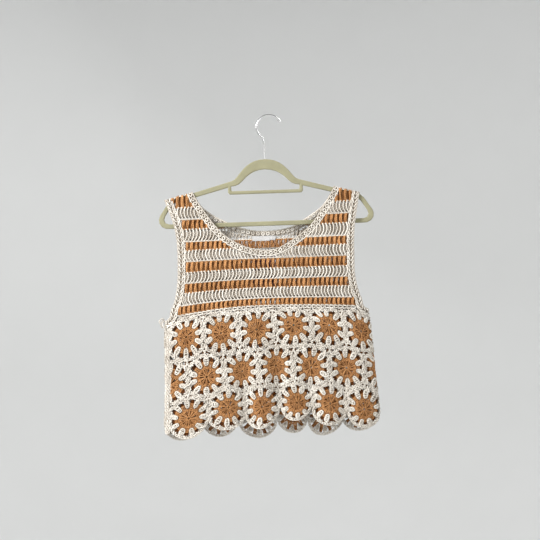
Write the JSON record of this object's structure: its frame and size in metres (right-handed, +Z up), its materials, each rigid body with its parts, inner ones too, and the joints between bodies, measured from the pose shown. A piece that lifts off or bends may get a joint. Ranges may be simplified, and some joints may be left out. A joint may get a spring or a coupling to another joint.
{
  "type": "crochet top on clothes hanger",
  "caption": "Sleeveless crochet top with a striped yoke, a lower panel of joined flower motifs and a scalloped hem, hanging on a slim flocked clothes hanger with a wire hook.",
  "frame": {"origin": "inside top of the hanger's hook, where a rail carries it", "axes": "+Z up, the front of the top faces -Y, +X towards the viewer's right"},
  "size_m": [0.4566, 0.062, 0.6783],
  "materials": {
    "cream_yarn": "matte twisted cotton yarn",
    "caramel_yarn": "matte twisted cotton yarn",
    "olive_flock": "short velvet flock over plastic",
    "chrome_wire": "polished chrome plating",
    "white_satin": "woven satin label, bare",
    "ink_satin": "dark satin label, bare"
  },
  "bodies": {
    "root": {"front_yoke": "cream_yarn", "back_yoke": "cream_yarn", "neck_trim_front": "cream_yarn", "neck_trim_back": "cream_yarn", "armhole_trim_left": "cream_yarn", "armhole_trim_right": "cream_yarn", "joining_row_front": "cream_yarn", "joining_row_back": "cream_yarn", "side_seam_band": "cream_yarn", "motif_a01": "caramel_yarn", "motif_a02": "caramel_yarn", "motif_a03": "caramel_yarn", "motif_a04": "caramel_yarn", "motif_a05": "caramel_yarn", "motif_a06": "caramel_yarn", "motif_a07": "caramel_yarn", "motif_a08": "caramel_yarn", "motif_a09": "caramel_yarn", "motif_a10": "caramel_yarn", "motif_a11": "caramel_yarn", "motif_a12": "caramel_yarn", "motif_b00_half": "caramel_yarn", "motif_b01": "caramel_yarn", "motif_b02": "caramel_yarn", "motif_b03": "caramel_yarn", "motif_b04": "caramel_yarn", "motif_b05": "caramel_yarn", "motif_b06": "caramel_yarn", "motif_b07": "caramel_yarn", "motif_b08": "caramel_yarn", "motif_b09": "caramel_yarn", "motif_b10": "caramel_yarn", "motif_b11": "caramel_yarn", "motif_b12_half": "caramel_yarn", "motif_c01": "caramel_yarn", "motif_c02": "caramel_yarn", "motif_c03": "caramel_yarn", "motif_c04": "caramel_yarn", "motif_c05": "caramel_yarn", "motif_c06": "caramel_yarn", "motif_c07": "caramel_yarn", "motif_c08": "caramel_yarn", "motif_c09": "caramel_yarn", "motif_c10": "caramel_yarn", "motif_c11": "caramel_yarn", "motif_c12": "caramel_yarn", "hanger_body": "olive_flock", "hanger_hook": "chrome_wire", "neck_label": "white_satin", "size_tag": "white_satin", "inner_label": "ink_satin"}
  },
  "joints": []
}
